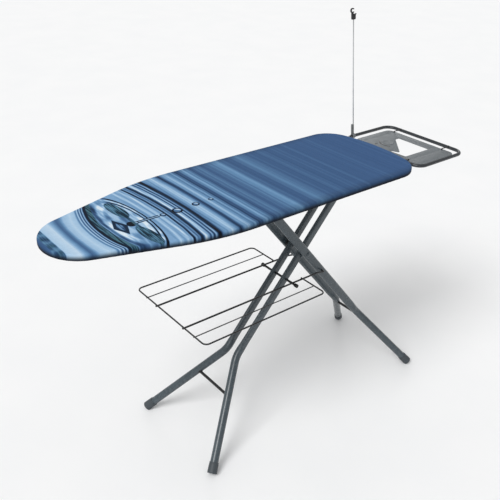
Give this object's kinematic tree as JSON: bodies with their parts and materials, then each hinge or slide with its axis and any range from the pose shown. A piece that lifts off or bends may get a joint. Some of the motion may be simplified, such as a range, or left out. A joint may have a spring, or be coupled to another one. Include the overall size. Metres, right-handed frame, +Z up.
{
  "type": "ironing board",
  "caption": "Folding ironing board on scissor legs, with a padded cloth cover, wire linen shelf, looped iron rest and upright cord guide.",
  "frame": {"origin": "on the floor, under the middle of the overall length and width", "axes": "+X from the nose of the board to the iron rest, +Y to the far side, +Z up"},
  "size_m": [1.5059, 0.426, 1.3057],
  "materials": {
    "cover_cloth": "matte woven cloth with a blue water-ripple print",
    "felt": "grey needle felt",
    "deck_paint": "satin light grey powder coat",
    "leg_paint": "satin slate grey powder coat",
    "wire_paint": "satin black coat on wire",
    "rest_paint": "satin charcoal powder coat",
    "plate_paint": "satin mid grey powder coat on sheet",
    "zinc": "bright zinc plate",
    "foot_plastic": "matte dark grey plastic",
    "black_plastic": "matte black plastic",
    "socket_plastic": "matte mid grey plastic",
    "guide_steel": "polished spring steel"
  },
  "bodies": {
    "board": {"board_cover": "cover_cloth", "felt_pad": "felt", "rim_frame": "deck_paint", "deck_sheet": "deck_paint", "deck_rib_nose": "deck_paint", "deck_rib_front": "deck_paint", "deck_rib_middle": "deck_paint", "deck_rib_hinge": "deck_paint", "deck_rib_rear": "deck_paint", "track_rail_near": "deck_paint", "track_rail_far": "deck_paint", "height_rack": "zinc", "hinge_bracket": "leg_paint", "hinge_pin": "zinc", "lever_brackets": "deck_paint", "lever_spring": "zinc", "rest_frame": "rest_paint", "rest_strap_near": "rest_paint", "rest_strap_far": "rest_paint", "rest_plate": "plate_paint", "rest_clips": "wire_paint", "cord_guide_socket": "socket_plastic"},
    "inner_legs": {"inner_leg_near": "leg_paint", "inner_leg_far": "leg_paint", "inner_crossbar": "wire_paint", "inner_foot_cap_near": "foot_plastic", "inner_foot_cap_far": "foot_plastic", "pivot_rivet_near": "leg_paint", "pivot_rivet_far": "leg_paint", "pivot_bush_near": "black_plastic", "pivot_bush_far": "black_plastic", "hinge_sleeve": "black_plastic", "shelf_rest_rod": "wire_paint", "shelf_rest_caps": "black_plastic"},
    "outer_legs": {"outer_leg_near": "leg_paint", "outer_leg_far": "leg_paint", "outer_crossbar": "wire_paint", "outer_foot_cap_near": "foot_plastic", "outer_foot_cap_far": "foot_plastic", "slide_axle": "zinc", "axle_glide_near": "black_plastic", "axle_glide_far": "black_plastic"},
    "shelf": {"shelf_rod_near": "wire_paint", "shelf_rod_far": "wire_paint", "shelf_wire_near": "wire_paint", "shelf_wire_far": "wire_paint", "shelf_frame": "wire_paint"},
    "release_lever": {"release_lever": "zinc", "lever_grip": "black_plastic"},
    "cord_guide": {"cord_guide_rod": "guide_steel", "cord_guide_clip": "black_plastic"}
  },
  "joints": [
    {"name": "inner_fold", "type": "hinge", "parent": "board", "child": "inner_legs", "pos_m": [0.3371, 0, 0.838], "axis": [0, 1, 0], "range_deg": [0, 43]},
    {"name": "outer_fold", "type": "hinge", "parent": "inner_legs", "child": "outer_legs", "pos_m": [0.129, 0, 0.59], "axis": [0, 1, 0], "range_deg": [-86, 0]},
    {"name": "shelf_fold", "type": "hinge", "parent": "outer_legs", "child": "shelf", "pos_m": [0.19906, 0, 0.5065], "axis": [0, 1, 0], "range_deg": [0, 43]},
    {"name": "lever_squeeze", "type": "hinge", "parent": "board", "child": "release_lever", "pos_m": [-0.025, 0, 0.85], "axis": [0, 1, 0], "range_deg": [0, 7], "stiffness_Nm_per_rad": 1.5, "springref_deg": -20.05},
    {"name": "guide_swivel", "type": "hinge", "parent": "board", "child": "cord_guide", "pos_m": [0.547, 0.172, 0.8526], "axis": [-0.0715, 0.0715, 0.9949], "range_deg": [-90, 90]}
  ],
  "couplings": [
    {"joint": "outer_fold", "follows": "inner_fold", "ratio": -2},
    {"joint": "shelf_fold", "follows": "inner_fold", "ratio": 1}
  ]
}
